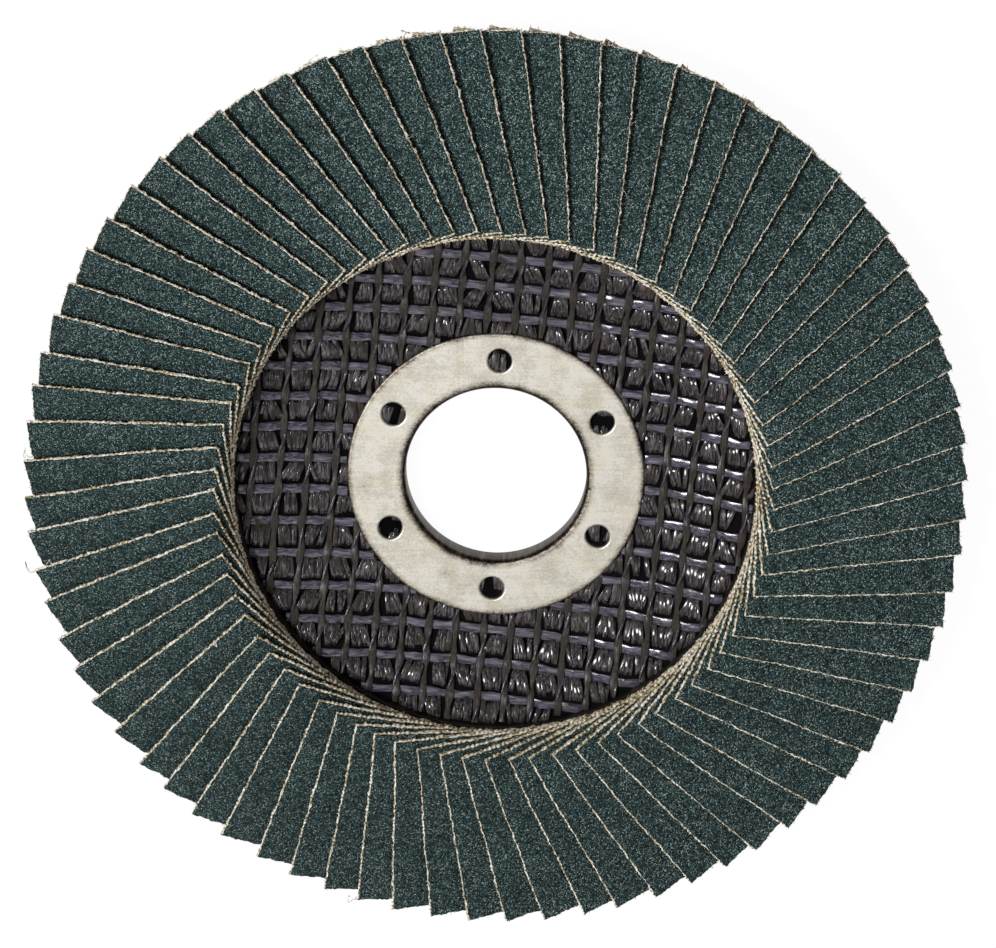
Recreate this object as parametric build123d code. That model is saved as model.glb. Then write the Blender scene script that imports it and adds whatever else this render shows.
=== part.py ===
"""Flap disc for an angle grinder: a conical pressed fibreglass plate with a steel arbor ring, and a
ring of overlapping abrasive cloth flaps whose buried edges are set in a bed of resin adhesive.

Millimetres. +Z runs along the arbor bore towards the abrasive face. The origin is on the bore's axis
at the hub's back face, which seats on the grinder's flange.
"""
import os
from itertools import pairwise
from math import ceil, cos, floor, hypot, radians, sin, sqrt, tan

from build123d import *

# Arbor ring: stamped from steel sheet, with a collar drawn down through the plate
BORE_DIAMETER = 22.23
RING_DIAMETER = 36.5
RING_SHEET = 0.6
RING_LIP_RADIUS = 0.66
KEYING_HOLE_COUNT = 6
KEYING_HOLE_DIAMETER = 2.9
KEYING_CIRCLE_DIAMETER = 29.5
KEYING_HOLE_TURN = 27.8

# Backing plate: flat hub, a rise, and a conical flange that falls towards the rim
HUB_THICKNESS = 2.6
HUB_MARGIN = 3.75
RISE_ANGLE = 19.0
CREST_LEAD = 1.4
CREST_THICKNESS = 2.2
CREST_EASING = 0.55
CONE_ANGLE = 10.0
RIM_THICKNESS = 1.5
COLLAR_CLEARANCE = 0.05

# Open glass mesh that stands proud of the plate between the ring and the flaps
WEAVE_TURN = -5.8
WARP_PITCH = 3.36
WARP_WIDTH = 1.0
WARP_HEIGHT = 0.4
WARP_SHIFT = -0.45
WEFT_PITCH = 4.05
WEFT_WIDTH = 1.9
WEFT_HEIGHT = 0.22
WEFT_SHIFT = -1.6
WEAVE_ROOT = 0.3
STRAND_STRIDE = 9.5
WEAVE_CLEARANCE = 0.12

# Abrasive cloth flaps: flat sheets, each one lying on its clockwise neighbour
DISC_DIAMETER = 115.0
FLAP_COUNT = 76
FLAP_THICKNESS = 0.88
FLAP_INNER_REACH = 32.4
FLAP_OVERHANG = 4.5
FREE_EDGE_OFFSET = 11.0
BURIED_EDGE_OFFSET = 5.25
FLAP_CLEARANCE = 0.01
FLAP_TURN = 2.9
FLAPS_A_NODE = 2

# Resin adhesive bed on the flange, with a seat for each flap's buried edge
BED_UNDER_FLAP = 0.2
BED_BEAD = 0.7
BED_BEAD_HEIGHT = 1.3
BED_RIM_MARGIN = 0.6

BORE_RADIUS = BORE_DIAMETER / 2
RING_RADIUS = RING_DIAMETER / 2
RING_FACE = HUB_THICKNESS + RING_SHEET
COLLAR_RADIUS = BORE_RADIUS + RING_SHEET
PLATE_BORE_RADIUS = COLLAR_RADIUS + COLLAR_CLEARANCE
DISC_RADIUS = DISC_DIAMETER / 2
RIM_RADIUS = DISC_RADIUS - FLAP_OVERHANG
HUB_RADIUS = RING_RADIUS + HUB_MARGIN
CREST_RADIUS = FLAP_INNER_REACH - CREST_LEAD
BED_INNER_RADIUS = FLAP_INNER_REACH - BED_BEAD
WEAVE_INNER_RADIUS = RING_RADIUS + WEAVE_CLEARANCE
WEAVE_OUTER_RADIUS = CREST_RADIUS - CREST_EASING
BED_OUTER_RADIUS = RIM_RADIUS - BED_RIM_MARGIN
FLAP_OUTER_REACH = sqrt(DISC_RADIUS**2 - FREE_EDGE_OFFSET**2)
FLAP_PITCH = radians(360 / FLAP_COUNT)
RISE_SLOPE = tan(radians(RISE_ANGLE))
CONE_SLOPE = tan(radians(CONE_ANGLE))
RISE_STRETCH = 1 / cos(radians(RISE_ANGLE))
CONE_STRETCH = 1 / cos(radians(CONE_ANGLE))
CREST_HEIGHT = HUB_THICKNESS + (CREST_RADIUS - HUB_RADIUS) * RISE_SLOPE


def flange_height(radius):
    """Height of the flange's plain conical front face."""
    return CREST_HEIGHT - (radius - CREST_RADIUS) * CONE_SLOPE


def flap_lean():
    """Slope at which flaps of this thickness just clear each other at their buried inner corners."""
    along = FLAP_INNER_REACH * sin(FLAP_PITCH) + BURIED_EDGE_OFFSET * (1 - cos(FLAP_PITCH))
    across = BURIED_EDGE_OFFSET * sin(FLAP_PITCH) - FLAP_INNER_REACH * (1 - cos(FLAP_PITCH))
    drop = across * CONE_SLOPE
    slab = FLAP_THICKNESS + FLAP_CLEARANCE
    # Upright gap along * lean - drop equals slab * sqrt(1 + CONE_SLOPE^2 + lean^2)
    square = along**2 - slab**2
    half = along * drop
    rest = drop**2 - slab**2 * (1 + CONE_SLOPE**2)
    return (half + sqrt(half**2 - square * rest)) / square


FLAP_LEAN = flap_lean()
FLAP_UPRIGHT = FLAP_THICKNESS * sqrt(1 + CONE_SLOPE**2 + FLAP_LEAN**2)
SEAT_HEIGHT = flange_height(hypot(FLAP_INNER_REACH, BURIED_EDGE_OFFSET)) + BED_UNDER_FLAP


def turned(*corners):
    """Solid of revolution about the bore's axis from (radius, height) corners."""
    outline = Polyline(*[(radius, 0, height) for radius, height in corners], close=True)
    return revolve(make_face(outline), Axis.Z)


def rise_height(radius, lift=0):
    """Height of the rise's front face, or of a face lying lift outside it."""
    return HUB_THICKNESS + (radius - HUB_RADIUS) * RISE_SLOPE + lift * RISE_STRETCH


def hub_corner(lift):
    """Where hub and rise meet, on a face lying lift outside the plate's front."""
    return HUB_RADIUS + lift * (1 - RISE_STRETCH) / RISE_SLOPE, HUB_THICKNESS + lift


def crest_corner(lift):
    """Where rise and flange meet, on a face lying lift outside the plate's front."""
    radius = CREST_RADIUS + lift * (CONE_STRETCH - RISE_STRETCH) / (RISE_SLOPE + CONE_SLOPE)
    return radius, flange_height(radius) + lift * CONE_STRETCH


def eased_crest():
    """The two corners of the narrow flat that eases the crest of the plate's front."""
    inner = CREST_RADIUS - CREST_EASING
    outer = CREST_RADIUS + CREST_EASING
    return (inner, rise_height(inner)), (outer, flange_height(outer))


def front_height(radius):
    """Height of the plate's front face over hub and rise."""
    return max(HUB_THICKNESS, rise_height(radius))


def chord(radius, offset):
    """Half the length of a circle's chord that lies offset from its centre, or nothing outside it."""
    return sqrt(max(radius**2 - offset**2, 0))


def strand_run(offset, width, height, start, end):
    """One stretch of a mesh strand along X, lying on hub and rise and rooted in the plate."""
    foot = chord(HUB_RADIUS, offset)
    knots = sorted({start, end, *(knot for knot in (-foot, foot) if start < knot < end)})
    places = [start]
    for before, after in pairwise(knots):
        steps = ceil((after - before) / STRAND_STRIDE)
        places += [before + (after - before) * step / steps for step in range(1, steps + 1)]
    top = [(x, front_height(hypot(x, offset)) + height) for x in places]
    root = [(x, level - height - WEAVE_ROOT) for x, level in reversed(top)]
    side = make_face(Polyline(*[(x, offset - width / 2, level) for x, level in top + root], close=True))
    return extrude(side, width, dir=(0, 1, 0))


def strands(pitch, width, height, shift, turn):
    """Parallel mesh strands of one direction, from the ring's edge to the crest."""
    reach = WEAVE_OUTER_RADIUS - width
    runs = []
    for place in range(ceil((-reach - shift) / pitch), floor((reach - shift) / pitch) + 1):
        offset = place * pitch + shift
        outer = chord(WEAVE_OUTER_RADIUS, abs(offset) + width / 2)
        inner = chord(WEAVE_INNER_RADIUS, max(abs(offset) - width / 2, 0))
        if inner:
            runs.append(strand_run(offset, width, height, inner, outer))
            runs.append(strand_run(offset, width, height, -outer, -inner))
        else:
            runs.append(strand_run(offset, width, height, -outer, outer))
    return [Rot(0, 0, turn) * run for run in runs]


def backing_plate():
    """Pressed plate with its open mesh standing proud round the ring."""
    back_hub = HUB_RADIUS + (CREST_THICKNESS * RISE_STRETCH - HUB_THICKNESS) / RISE_SLOPE
    rim_front = flange_height(RIM_RADIUS)
    body = turned(
        (PLATE_BORE_RADIUS, HUB_THICKNESS),
        hub_corner(0),
        *eased_crest(),
        (RIM_RADIUS, rim_front),
        (RIM_RADIUS, rim_front - RIM_THICKNESS),
        crest_corner(-CREST_THICKNESS),
        (back_hub, 0),
        (PLATE_BORE_RADIUS, 0),
    )
    warps = strands(WARP_PITCH, WARP_WIDTH, WARP_HEIGHT, WARP_SHIFT, WEAVE_TURN + 90)
    wefts = strands(WEFT_PITCH, WEFT_WIDTH, WEFT_HEIGHT, WEFT_SHIFT, WEAVE_TURN)
    return body.fuse(*warps, *wefts)


def centre_ring():
    """Ring flange and drawn collar in one piece, with six punched keying holes."""
    lip = RING_LIP_RADIUS * (1 - cos(radians(45)))
    ring = turned(
        (BORE_RADIUS, 0),
        (BORE_RADIUS, RING_FACE - RING_LIP_RADIUS),
        (BORE_RADIUS + lip, RING_FACE - lip),
        (BORE_RADIUS + RING_LIP_RADIUS, RING_FACE),
        (RING_RADIUS, RING_FACE),
        (RING_RADIUS, HUB_THICKNESS),
        (COLLAR_RADIUS, HUB_THICKNESS),
        (COLLAR_RADIUS, 0),
    )
    punch = Cylinder(KEYING_HOLE_DIAMETER / 2, 2 * RING_SHEET)
    for place in range(KEYING_HOLE_COUNT):
        turn = KEYING_HOLE_TURN + place * 360 / KEYING_HOLE_COUNT
        ring -= Rot(0, 0, turn) * Pos(KEYING_CIRCLE_DIAMETER / 2, 0, RING_FACE) * punch
    return ring


def flap_corner(along, across):
    """Point on a flap's upper face in the flap's frame: X outwards, Y towards the buried edge."""
    fall = (along - FLAP_INNER_REACH) * CONE_SLOPE
    rise = (BURIED_EDGE_OFFSET - across) * FLAP_LEAN
    return along, across, SEAT_HEIGHT + FLAP_UPRIGHT - fall + rise


def flap_outline():
    """Upper face of a flap in its own frame."""
    return make_face(
        Polyline(
            flap_corner(FLAP_INNER_REACH, -FREE_EDGE_OFFSET),
            flap_corner(FLAP_OUTER_REACH, -FREE_EDGE_OFFSET),
            flap_corner(FLAP_OUTER_REACH, BURIED_EDGE_OFFSET),
            flap_corner(FLAP_INNER_REACH, BURIED_EDGE_OFFSET),
            close=True,
        )
    )


def flap_blanks(thickness, lift=0):
    """One sheet a flap, each in its place on the disc, with its upper face lifted off the flap's."""
    up = Vector(CONE_SLOPE, FLAP_LEAN, 1).normalized()
    blank = extrude(Pos(up * lift) * flap_outline(), thickness, dir=-up)
    return [Rot(0, 0, FLAP_TURN + place * 360 / FLAP_COUNT) * blank for place in range(FLAP_COUNT)]


def adhesive_bed():
    """Adhesive under the flaps: each wedge fills the room up to the next flap's buried edge."""
    depth = BED_UNDER_FLAP + FLAP_LEAN * BED_OUTER_RADIUS * sin(FLAP_PITCH)
    blank = turned(
        (BED_INNER_RADIUS, flange_height(BED_INNER_RADIUS)),
        (BED_INNER_RADIUS, flange_height(BED_INNER_RADIUS) + BED_BEAD_HEIGHT),
        (BED_OUTER_RADIUS, flange_height(BED_OUTER_RADIUS) + depth),
        (BED_OUTER_RADIUS, flange_height(BED_OUTER_RADIUS)),
    )
    return blank.cut(*flap_blanks(FLAP_THICKNESS + depth, lift=depth))


def write(node, *solids):
    """Write one node's solids to its own STEP file."""
    shape = solids[0] if len(solids) == 1 else Compound(children=list(solids))
    shape.label = node
    export_step(shape, f"parts/{node}.step")


def main():
    os.makedirs("parts", exist_ok=True)
    write("backing_plate", backing_plate())
    write("centre_ring", centre_ring())
    write("adhesive_bed", adhesive_bed())
    flaps = flap_blanks(FLAP_THICKNESS)
    for first in range(0, FLAP_COUNT, FLAPS_A_NODE):
        write(f"flaps_{first // FLAPS_A_NODE + 1:02d}", *flaps[first : first + FLAPS_A_NODE])


main()
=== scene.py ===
import functools
import math

import bmesh
import bpy
from mathutils import Matrix, Vector


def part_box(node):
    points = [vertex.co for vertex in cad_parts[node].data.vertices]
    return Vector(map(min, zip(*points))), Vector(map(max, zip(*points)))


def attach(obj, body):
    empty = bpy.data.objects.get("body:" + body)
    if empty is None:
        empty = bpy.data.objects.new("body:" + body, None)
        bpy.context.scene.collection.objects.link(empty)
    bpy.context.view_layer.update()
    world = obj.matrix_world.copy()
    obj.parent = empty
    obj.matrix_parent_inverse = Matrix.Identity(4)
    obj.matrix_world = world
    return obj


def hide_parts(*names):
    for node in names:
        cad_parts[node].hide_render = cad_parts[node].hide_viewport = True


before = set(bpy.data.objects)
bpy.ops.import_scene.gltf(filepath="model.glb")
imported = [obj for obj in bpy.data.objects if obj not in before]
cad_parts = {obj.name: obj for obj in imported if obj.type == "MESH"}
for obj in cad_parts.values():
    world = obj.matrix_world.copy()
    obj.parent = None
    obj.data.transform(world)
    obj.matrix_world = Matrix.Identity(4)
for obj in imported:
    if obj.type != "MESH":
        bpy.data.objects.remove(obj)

bl_info = {
    "name": "Flap disc",
    "version": (1, 0, 0),
    "blender": (4, 5, 0),
    "location": "View3D > Sidebar > Flap disc",
    "description": "Dresses the packed flap disc with cloth flaps, a glass mesh plate and a steel arbor ring",
    "category": "Mesh",
}

MM = 0.001
TAU = math.tau

RING_REACH, _, RING_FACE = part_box("centre_ring")[1]
RIM_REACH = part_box("backing_plate")[1][0]

# Label, description and usual main colour of each finish; its other tones are written beside it and follow it
FINISHES = {
    "grit": ("Grit coat", "Tinted size coat over the grains", "#263c3d"),
    "cloth": ("Cloth", "Back of the sized cloth", "#9c8159"),
    "yarn": ("Yarn", "Yarn ends at the cut edges, fuzz and loose threads", "#ddd0b3"),
    "steel": ("Steel", "Plated steel of the ring", "#c3bdb0"),
    "resin": ("Resin", "Pressed resin of the plate", "#1a1819"),
    "glass": ("Glass", "Resin-soaked glass roving of the mesh", "#454150"),
    "adhesive": ("Adhesive", "Epoxy under the flaps", "#0f0a07"),
    "floor": ("Floor", "Paper that the disc lies on", "#f2f2f2"),
}


def linear(code):
    """Turn an sRGB hex colour into linear RGBA."""
    channels = [int(code[place : place + 2], 16) / 255 for place in (1, 3, 5)]
    return (*[c / 12.92 if c <= 0.04045 else ((c + 0.055) / 1.055) ** 2.4 for c in channels], 1.0)


# ---------------------------------------------------------------- settings


class FlapSettings(bpy.types.PropertyGroup):
    """Sizes of the abrasive cloth flaps and of their places on the disc."""

    count: bpy.props.IntProperty(name="Flaps", description="Flaps round the disc", default=76, min=3)
    turn: bpy.props.FloatProperty(
        name="Turn", description="Azimuth of the first flap", default=math.radians(2.9), subtype="ANGLE"
    )
    inner: bpy.props.FloatProperty(
        name="Inner reach", description="From the axis to a flap's inner end", default=31.95 * MM, unit="LENGTH"
    )
    outer: bpy.props.FloatProperty(
        name="Outer reach", description="From the axis to a flap's outer end", default=56.438 * MM, unit="LENGTH"
    )
    free: bpy.props.FloatProperty(
        name="Free edge", description="Offset of the free edge from the radius", default=11.0 * MM, unit="LENGTH"
    )
    buried: bpy.props.FloatProperty(
        name="Buried edge", description="Offset of the buried edge from the radius", default=6.8 * MM, unit="LENGTH"
    )
    seat: bpy.props.FloatProperty(
        name="Seat height", description="Upper face at the buried inner corner", default=6.024 * MM, unit="LENGTH"
    )
    lean: bpy.props.FloatProperty(name="Lean", description="Rise of a flap towards its free edge", default=0.379)
    fall: bpy.props.FloatProperty(name="Fall", description="Fall of a flap towards the rim", default=0.17633)
    fray: bpy.props.FloatProperty(
        name="Fray", description="Raggedness of the cut edges", default=0.1 * MM, unit="LENGTH"
    )
    bow: bpy.props.FloatProperty(
        name="Bow", description="Long bends of the cut edges", default=0.5 * MM, unit="LENGTH"
    )
    wave: bpy.props.FloatProperty(
        name="Wave", description="Waves up and down in a flap", default=0.3 * MM, unit="LENGTH"
    )


class PlateSettings(bpy.types.PropertyGroup):
    """Sizes of the pressed backing plate and of its glass mesh."""

    bore: bpy.props.FloatProperty(
        name="Bore radius", description="Hole that takes the ring's collar", default=11.765 * MM, unit="LENGTH"
    )
    hub_radius: bpy.props.FloatProperty(
        name="Hub radius", description="Where the flat hub ends", default=22.0 * MM, unit="LENGTH"
    )
    hub_height: bpy.props.FloatProperty(
        name="Hub height", description="Front face of the hub", default=2.6 * MM, unit="LENGTH"
    )
    slope: bpy.props.FloatProperty(
        name="Rise", description="Angle of the rise round the hub", default=math.radians(19), subtype="ANGLE"
    )
    crest_radius: bpy.props.FloatProperty(
        name="Crest radius", description="Where the rise meets the flange", default=31.0 * MM, unit="LENGTH"
    )
    crest_height: bpy.props.FloatProperty(
        name="Crest height", description="Resin face at the crest", default=5.62 * MM, unit="LENGTH"
    )
    fall: bpy.props.FloatProperty(
        name="Fall", description="Angle of the flange's fall to the rim", default=math.radians(10), subtype="ANGLE"
    )
    rim_radius: bpy.props.FloatProperty(
        name="Rim radius", description="Outer edge of the flange", default=RIM_REACH, unit="LENGTH"
    )
    rim_thickness: bpy.props.FloatProperty(
        name="Rim thickness", description="Thickness of the flange at its edge", default=1.5 * MM, unit="LENGTH"
    )
    warp_pitch: bpy.props.FloatProperty(
        name="Warp pitch", description="Distance between the upright strands", default=3.36 * MM, unit="LENGTH"
    )
    weft_pitch: bpy.props.FloatProperty(
        name="Weft pitch", description="Distance between the cross ribbons", default=4.05 * MM, unit="LENGTH"
    )
    mesh_turn: bpy.props.FloatProperty(
        name="Mesh turn",
        description="Turn of the glass mesh on the disc",
        default=math.radians(-5.8),
        subtype="ANGLE",
    )


class RingSettings(bpy.types.PropertyGroup):
    """Sizes of the stamped steel ring."""

    bore: bpy.props.FloatProperty(
        name="Bore radius", description="Inside of the collar", default=11.115 * MM, unit="LENGTH"
    )
    radius: bpy.props.FloatProperty(
        name="Outer radius", description="Edge of the ring", default=RING_REACH, unit="LENGTH"
    )
    face: bpy.props.FloatProperty(
        name="Front face", description="Height of the ring's front face", default=RING_FACE, unit="LENGTH"
    )
    lip: bpy.props.FloatProperty(
        name="Lip", description="Radius of the rolled lip round the bore", default=0.66 * MM, unit="LENGTH"
    )
    hole_radius: bpy.props.FloatProperty(
        name="Hole radius", description="Keying holes", default=1.45 * MM, unit="LENGTH"
    )
    hole_circle: bpy.props.FloatProperty(
        name="Hole circle", description="From the axis to the holes' centres", default=14.75 * MM, unit="LENGTH"
    )
    hole_turn: bpy.props.FloatProperty(
        name="Hole turn", description="Azimuth of the first hole", default=math.radians(27.8), subtype="ANGLE"
    )


class FinishSettings(bpy.types.PropertyGroup):
    """Main colours of the finishes; the other tones of a finish follow its main one."""

    __annotations__ = {
        finish: bpy.props.FloatVectorProperty(
            name=label, description=description, default=linear(code), size=4, min=0.0, max=1.0, subtype="COLOR"
        )
        for finish, (label, description, code) in FINISHES.items()
    }


class StageSettings(bpy.types.PropertyGroup):
    """Place and framing of the camera."""

    distance: bpy.props.FloatProperty(
        name="Distance", description="From the camera to the ring's face", default=0.6, unit="LENGTH"
    )
    tilt: bpy.props.FloatProperty(
        name="Tilt",
        description="Angle between the view and the bore's axis",
        default=math.radians(19.228),
        subtype="ANGLE",
    )
    swing: bpy.props.FloatProperty(
        name="Swing", description="Side turn of the view", default=math.radians(6.211), subtype="ANGLE"
    )
    scale: bpy.props.FloatProperty(
        name="Scale", description="Pixels to a millimetre at the ring's face", default=8.155, min=0.1
    )


# ---------------------------------------------------------------- shared helpers


def set_inputs(node, inputs):
    """Set a node's inputs to values, or link them to sockets or to the first output in use of other nodes."""
    for key, value in inputs.items():
        if isinstance(value, bpy.types.Node):
            value = next(output for output in value.outputs if output.enabled)
        if isinstance(value, bpy.types.NodeSocket):
            node.id_data.links.new(value, node.inputs[key])
        else:
            node.inputs[key].default_value = value


def add_node(tree, kind, inputs=None, stops=(), **settings):
    """Add a node to a tree, with its settings and its (position, colour) stops, and set or link its inputs."""
    node = tree.nodes.new(kind)
    for name, value in settings.items():
        setattr(node, name, value)
    if stops:
        marks = node.color_ramp.elements
        while len(marks) < len(stops):
            marks.new(0.5)
        for mark, (position, colour) in zip(marks, stops):
            mark.position, mark.color = position, colour
    set_inputs(node, inputs or {})
    return node


def mesh_piece(name, bm, materials, smooth=True):
    """Make an object at the origin from a bmesh, which is freed."""
    mesh = bpy.data.meshes.new(name)
    bm.to_mesh(mesh)
    bm.free()
    for material in materials:
        mesh.materials.append(material)
    if smooth:
        mesh.polygons.foreach_set("use_smooth", [True] * len(mesh.polygons))
    return mesh_object(name, mesh)


def mesh_object(name, mesh):
    """Put a mesh into the scene as an object at the origin."""
    piece = bpy.data.objects.new(name, mesh)
    bpy.context.collection.objects.link(piece)
    return piece


def settle(piece, replaced=()):
    """Let a finished piece ride with the body and hide the CAD parts it stands for."""
    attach(piece, "root")
    if replaced:
        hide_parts(*replaced)


def bridge(bm, ring, after):
    """Join two closed rings of equally many vertices with quads."""
    for step in range(len(ring)):
        ahead = (step + 1) % len(ring)
        bm.faces.new((ring[step], ring[ahead], after[ahead], after[step]))


def close_tube(bm, rings):
    """Join rings one after another and cap both ends."""
    for ring, after in zip(rings, rings[1:]):
        bridge(bm, ring, after)
    bm.faces.new(list(reversed(rings[0])))
    bm.faces.new(rings[-1])


def start_tree(name, given, made):
    """Make a Geometry Nodes tree with named inputs and one geometry output; return it, its adder and its inputs."""
    tree = bpy.data.node_groups.new(name, "GeometryNodeTree")
    for label, kind in given.items():
        tree.interface.new_socket(name=label, in_out="INPUT", socket_type="NodeSocket" + kind)
    tree.interface.new_socket(name=made, in_out="OUTPUT", socket_type="NodeSocketGeometry")
    add = functools.partial(add_node, tree)
    return tree, add, add("NodeGroupInput").outputs


def run_tree(piece, tree, name, values):
    """Evaluate a tree on a piece, with values for its named inputs, and return the result as a plain mesh piece."""
    modifier = piece.modifiers.new("repeat", "NODES")
    modifier.node_group = tree
    for item in tree.interface.items_tree:
        if item.item_type == "SOCKET" and item.in_out == "INPUT" and item.name in values:
            modifier[item.identifier] = values[item.name]
    bpy.context.view_layer.update()
    seen = piece.evaluated_get(bpy.context.evaluated_depsgraph_get())
    mesh = bpy.data.meshes.new_from_object(seen)
    mesh.name = name
    piece.modifiers.clear()
    result = mesh_object(name, mesh)
    bpy.data.objects.remove(piece)
    if not mesh.polygons:
        raise RuntimeError(name + " came out empty")
    return result


def uneven(add, place, size, amount, base=0.0, **sockets):
    """Nodes for noise of a size, centred on nought, times an amount, on top of a base."""
    noise = add("ShaderNodeTexNoise", {"Vector": place, "Scale": 1 / size, **sockets})
    centred = add("ShaderNodeMath", {0: noise, 1: 0.5}, operation="SUBTRACT")
    return add("ShaderNodeMath", {0: centred, 1: amount, 2: base}, operation="MULTIPLY_ADD")


def wave(add, run, pitch):
    """Nodes for a sine along a run, one wave to a pitch."""
    turns = add("ShaderNodeMath", {0: run, 1: TAU / pitch}, operation="MULTIPLY")
    return add("ShaderNodeMath", {0: turns}, operation="SINE")


# ---------------------------------------------------------------- materials


def tones(finish, *stops):
    """Linear colour stops from (position, hex colour) ones, moved as the finish's picked colour is from its usual."""
    picked = getattr(bpy.context.scene.flapdisc_finish, finish)
    moved = [new / usual for new, usual in zip(picked, linear(FINISHES[finish][-1]))]
    return [(position, [min(1.0, part * by) for part, by in zip(linear(code), moved)]) for position, code in stops]


def start_material(name):
    """Make a material with one Principled shader; return it, its adder of nodes and its Object coordinates."""
    material = bpy.data.materials.new(name)
    material.use_nodes = True
    add = functools.partial(add_node, material.node_tree)
    return material, add, add("ShaderNodeTexCoord").outputs["Object"]


def finish_material(material, **inputs):
    """Set or link the inputs of a material's shader, named with _ for a space."""
    shader = material.node_tree.nodes["Principled BSDF"]
    set_inputs(shader, {name.replace("_", " "): value for name, value in inputs.items()})
    return material


def coated_grit():
    """Zirconia grains under a tinted resin size coat: dark teal, rough, with pale specks where a grain is bare."""
    material, add, place = start_material("zirconia_grit_in_size_coat")
    # Grains of 0.115 mm, each with a shade of its own
    grains = add("ShaderNodeTexVoronoi", {"Vector": place, "Scale": 1 / (0.115 * MM)})
    shade = add("ShaderNodeSeparateColor", {"Color": grains.outputs["Color"]})
    # Blotches of 5 mm where the coat lies thicker
    blotch = add("ShaderNodeTexNoise", {"Vector": place, "Scale": 1 / (5 * MM), "Detail": 3.0})
    mixed = add("ShaderNodeMath", {0: blotch, 1: 0.12, 2: shade}, operation="MULTIPLY_ADD")
    level = add("ShaderNodeMapRange", {"Value": mixed, "From Min": 0.05, "From Max": 1.07})
    stops = tones(
        "grit",
        (0.1, "#020505"),
        (0.33, "#0e1d1e"),
        (0.58, "#263c3d"),
        (0.78, "#3e5756"),
        (0.9, "#5d7572"),
        (0.97, "#a3b5b0"),
    )
    colour = add("ShaderNodeValToRGB", {"Fac": level}, stops)
    bump = add("ShaderNodeBump", {"Height": grains, "Distance": 0.1 * MM, "Strength": 0.9}, invert=True)
    return finish_material(
        material, Base_Color=colour, Normal=bump, Roughness=0.7, IOR=1.5, Specular_IOR_Level=0.25
    )


def backing_cloth():
    """Back of the polyester-cotton cloth: yarns of 0.5 mm in a plain weave, stiffened with brown size."""
    material, add, place = start_material("sized_polycotton_cloth")
    # A wave of 1 mm is one yarn over and one under
    waves = [
        wave(add, add("ShaderNodeAttribute", attribute_name=name).outputs["Fac"], 1.0 * MM)
        for name in ("along", "across")
    ]
    crossing = add("ShaderNodeMath", {0: waves[0], 1: waves[1]}, operation="MULTIPLY")
    cloud = add("ShaderNodeTexNoise", {"Vector": place, "Scale": 1 / (2 * MM), "Detail": 5.0})
    mixed = add("ShaderNodeMath", {0: crossing, 1: 0.2, 2: cloud}, operation="MULTIPLY_ADD")
    stops = tones("cloth", (0.3, "#6b5438"), (0.5, "#9c8159"), (0.75, "#c9b58e"))
    colour = add("ShaderNodeValToRGB", {"Fac": mixed}, stops)
    bump = add("ShaderNodeBump", {"Height": crossing, "Distance": 0.1 * MM, "Strength": 0.7})
    return finish_material(material, Base_Color=colour, Normal=bump, Roughness=0.9)


def cut_cloth():
    """Cut edge of the cloth: open yarn ends 0.55 mm apart, cream on top, brown between, tan at the glued ends."""
    material, add, place = start_material("cut_polycotton_edge")
    ragged = add("ShaderNodeTexNoise", {"Vector": place, "Scale": 1 / (0.4 * MM), "Detail": 4.0})
    # The resin that holds the inner ends has soaked into them
    side = add("ShaderNodeAttribute", attribute_name="push_x").outputs["Fac"]
    soaked = add(
        "ShaderNodeMapRange", {"Value": side, "From Min": -1.0, "From Max": 0.0, "To Min": -0.22, "To Max": -0.16}
    )
    total = add("ShaderNodeMath", {0: ragged, 1: soaked}, operation="ADD")
    # Stretches of 5 mm are cleaner or more soaked than others
    clean = add("ShaderNodeTexNoise", {"Vector": place, "Scale": 1 / (5 * MM), "Detail": 2.0})
    total = add("ShaderNodeMath", {0: clean, 1: 0.32, 2: total}, operation="MULTIPLY_ADD")
    for name in ("along", "across"):
        ends = wave(add, add("ShaderNodeAttribute", attribute_name=name).outputs["Fac"], 0.55 * MM)
        total = add("ShaderNodeMath", {0: ends, 1: 0.06, 2: total}, operation="MULTIPLY_ADD")
    stops = tones("yarn", (0.27, "#3d2f1c"), (0.38, "#a08a62"), (0.5, "#ddd0b3"), (0.61, "#fffaf0"))
    colour = add("ShaderNodeValToRGB", {"Fac": total}, stops)
    bump = add("ShaderNodeBump", {"Height": total, "Distance": 0.2 * MM, "Strength": 0.8})
    return finish_material(material, Base_Color=colour, Normal=bump, Roughness=0.95)


def frayed_yarn():
    """Loose cotton fibres of the cut cloth: pale cream, matt, tan where the size has soaked in."""
    material, add, place = start_material("frayed_cotton_yarn")
    soak = add("ShaderNodeTexNoise", {"Vector": place, "Scale": 1 / (1.5 * MM), "Detail": 3.0})
    stops = tones("yarn", (0.28, "#bfa57a"), (0.45, "#efe2c6"), (0.58, "#fffaf0"))
    colour = add("ShaderNodeValToRGB", {"Fac": soak}, stops)
    return finish_material(material, Base_Color=colour, Roughness=0.9)


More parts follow.
